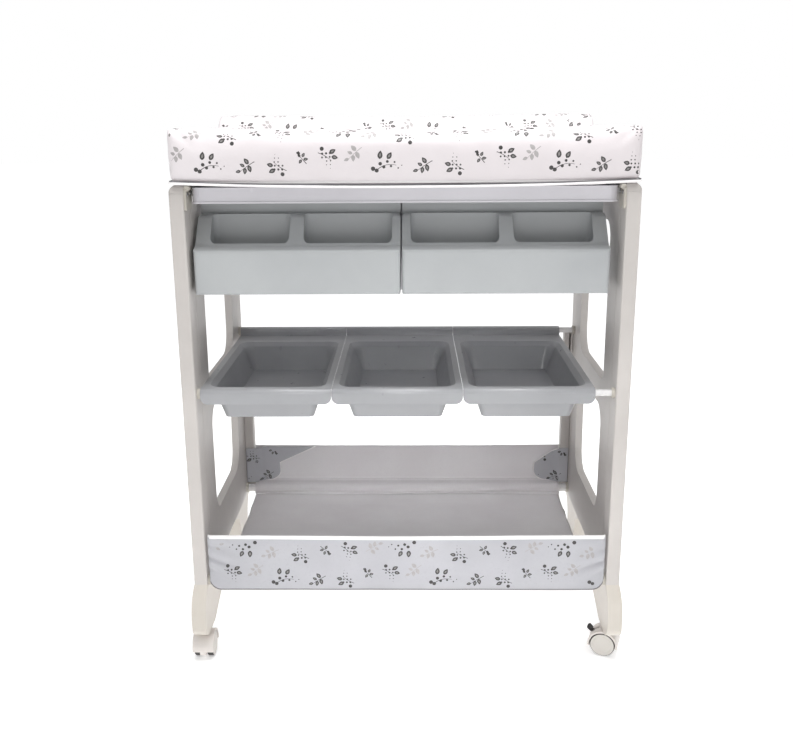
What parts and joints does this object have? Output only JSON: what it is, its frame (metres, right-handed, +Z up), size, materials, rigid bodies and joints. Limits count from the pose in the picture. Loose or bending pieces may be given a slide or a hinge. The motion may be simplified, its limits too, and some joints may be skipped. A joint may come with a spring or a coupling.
{
  "type": "changing table",
  "caption": "Wheeled baby changing table with a hinged padded mat over a bath, pull-out organiser trays, lift-out bins and a fabric basket.",
  "frame": {"origin": "on the floor at the middle of the bounding box", "axes": "+X to the right as seen from the front, +Y to the back, +Z up; the front faces -Y"},
  "size_m": [0.8437, 0.5, 1.031],
  "materials": {
    "frame_plastic": "moulded off-white plastic, fine satin texture",
    "foot_plastic": "moulded ivory plastic, smooth satin",
    "tube_enamel": "white powder-coated steel tube",
    "bath_plastic": "smooth glossy white bath moulding",
    "tray_plastic": "light grey moulded plastic, satin",
    "bin_plastic": "mid grey moulded plastic, satin",
    "bracket_plastic": "grey-beige moulded brackets and sockets",
    "hinge_steel": "zinc-plated steel",
    "mat_cover": "wipe-clean printed PVC cover, soft sheen",
    "mat_board": "thin hardboard stiffener, covered",
    "basket_cloth": "printed coated fabric",
    "caster_plastic": "ivory nylon hoods",
    "wheel_plastic": "ivory nylon wheels",
    "brake_plastic": "near-black lever"
  },
  "bodies": {
    "frame": {"end_frame_left": "frame_plastic", "rear_post_left": "frame_plastic", "foot_front_left": "foot_plastic", "foot_rear_left": "foot_plastic", "tube_sockets_left": "bracket_plastic", "bath_brackets_left": "bracket_plastic", "hinge_bracket_left": "hinge_steel", "tray_runners_left": "tube_enamel", "end_frame_right": "frame_plastic", "rear_post_right": "frame_plastic", "foot_front_right": "foot_plastic", "foot_rear_right": "foot_plastic", "tube_sockets_right": "bracket_plastic", "bath_brackets_right": "bracket_plastic", "hinge_bracket_right": "hinge_steel", "tray_runners_right": "tube_enamel", "shelf_tube_front": "tube_enamel", "shelf_tube_rear": "tube_enamel", "basket_tube_front": "tube_enamel", "basket_tube_rear": "tube_enamel", "bath_rail_front": "tube_enamel", "bath_rail_middle": "tube_enamel", "bath_rail_rear": "tube_enamel", "bracket_screws": "hinge_steel", "hinge_pins": "hinge_steel", "bath_tub": "bath_plastic", "bath_drain": "tray_plastic", "basket_front_panel": "basket_cloth", "basket_back_panel": "basket_cloth", "basket_floor": "basket_cloth"},
    "mat": {"mat_board": "mat_board", "mat_base_cushion": "mat_cover", "mat_bolster_front": "mat_cover", "mat_bolster_rear": "mat_cover", "mat_bolster_side_left": "mat_cover", "mat_bolster_side_right": "mat_cover", "hinge_leaf_left": "hinge_steel", "hinge_leaf_right": "hinge_steel"},
    "tray_left": {"tray_left": "tray_plastic"},
    "tray_right": {"tray_right": "tray_plastic"},
    "bin_left": {"bin_left": "bin_plastic"},
    "bin_middle": {"bin_middle": "bin_plastic"},
    "bin_right": {"bin_right": "bin_plastic"},
    "bath_plug": {"bath_plug": "tray_plastic"},
    "caster_front_left": {"caster_hood_front_left": "caster_plastic", "caster_pins_front_left": "hinge_steel"},
    "wheels_front_left": {"caster_wheels_front_left": "wheel_plastic"},
    "caster_front_right": {"caster_hood_front_right": "caster_plastic", "caster_pins_front_right": "hinge_steel"},
    "wheels_front_right": {"caster_wheels_front_right": "wheel_plastic"},
    "brake_front_right": {"brake_lever_front_right": "brake_plastic"},
    "caster_rear_left": {"caster_hood_rear_left": "caster_plastic", "caster_pins_rear_left": "hinge_steel"},
    "wheels_rear_left": {"caster_wheels_rear_left": "wheel_plastic"},
    "brake_rear_left": {"brake_lever_rear_left": "brake_plastic"},
    "caster_rear_right": {"caster_hood_rear_right": "caster_plastic", "caster_pins_rear_right": "hinge_steel"},
    "wheels_rear_right": {"caster_wheels_rear_right": "wheel_plastic"}
  },
  "joints": [
    {"name": "mat_hinge", "type": "hinge", "parent": "frame", "child": "mat", "pos_m": [0, 0.245, 0.9115], "axis": [-1, 0, 0], "range_deg": [0, 95]},
    {"name": "tray_left_slide", "type": "slide", "parent": "frame", "child": "tray_left", "axis": [0, -1, 0], "range_m": [0, 0.075]},
    {"name": "tray_right_slide", "type": "slide", "parent": "frame", "child": "tray_right", "axis": [0, -1, 0], "range_m": [0, 0.075]},
    {"name": "bin_left_lift", "type": "slide", "parent": "frame", "child": "bin_left", "axis": [0, 0, 1], "range_m": [0, 0.11]},
    {"name": "bin_middle_lift", "type": "slide", "parent": "frame", "child": "bin_middle", "axis": [0, 0, 1], "range_m": [0, 0.11]},
    {"name": "bin_right_lift", "type": "slide", "parent": "frame", "child": "bin_right", "axis": [0, 0, 1], "range_m": [0, 0.11]},
    {"name": "bath_plug_lift", "type": "slide", "parent": "frame", "child": "bath_plug", "axis": [0, 0, 1], "range_m": [0, 0.03]},
    {"name": "caster_front_left_swivel", "type": "hinge", "parent": "frame", "child": "caster_front_left", "pos_m": [-0.3955, -0.195, 0.06], "axis": [0, 0, 1], "continuous": true},
    {"name": "wheels_front_left_spin", "type": "hinge", "parent": "caster_front_left", "child": "wheels_front_left", "pos_m": [-0.3955, -0.203, 0.024], "axis": [1, 0, 0], "continuous": true},
    {"name": "caster_front_right_swivel", "type": "hinge", "parent": "frame", "child": "caster_front_right", "pos_m": [0.3955, -0.195, 0.06], "axis": [0, 0, 1], "continuous": true},
    {"name": "wheels_front_right_spin", "type": "hinge", "parent": "caster_front_right", "child": "wheels_front_right", "pos_m": [0.38798, -0.19226, 0.024], "axis": [-0.342, -0.9397, 0], "continuous": true},
    {"name": "brake_front_right_press", "type": "hinge", "parent": "caster_front_right", "child": "brake_front_right", "pos_m": [0.37503, -0.18755, 0.03557], "axis": [-0.342, -0.9397, 0], "range_deg": [0, 12]},
    {"name": "caster_rear_left_swivel", "type": "hinge", "parent": "frame", "child": "caster_rear_left", "pos_m": [-0.3955, 0.189, 0.06], "axis": [0, 0, 1], "continuous": true},
    {"name": "wheels_rear_left_spin", "type": "hinge", "parent": "caster_rear_left", "child": "wheels_rear_left", "pos_m": [-0.39689, 0.19688, 0.024], "axis": [-0.9848, -0.1736, 0], "continuous": true},
    {"name": "brake_rear_left_press", "type": "hinge", "parent": "caster_rear_left", "child": "brake_rear_left", "pos_m": [-0.39928, 0.21046, 0.03557], "axis": [-0.9848, -0.1736, 0], "range_deg": [0, 12]},
    {"name": "caster_rear_right_swivel", "type": "hinge", "parent": "frame", "child": "caster_rear_right", "pos_m": [0.3955, 0.189, 0.06], "axis": [0, 0, 1], "continuous": true},
    {"name": "wheels_rear_right_spin", "type": "hinge", "parent": "caster_rear_right", "child": "wheels_rear_right", "pos_m": [0.3955, 0.197, 0.024], "axis": [-1, 0, 0], "continuous": true}
  ]
}
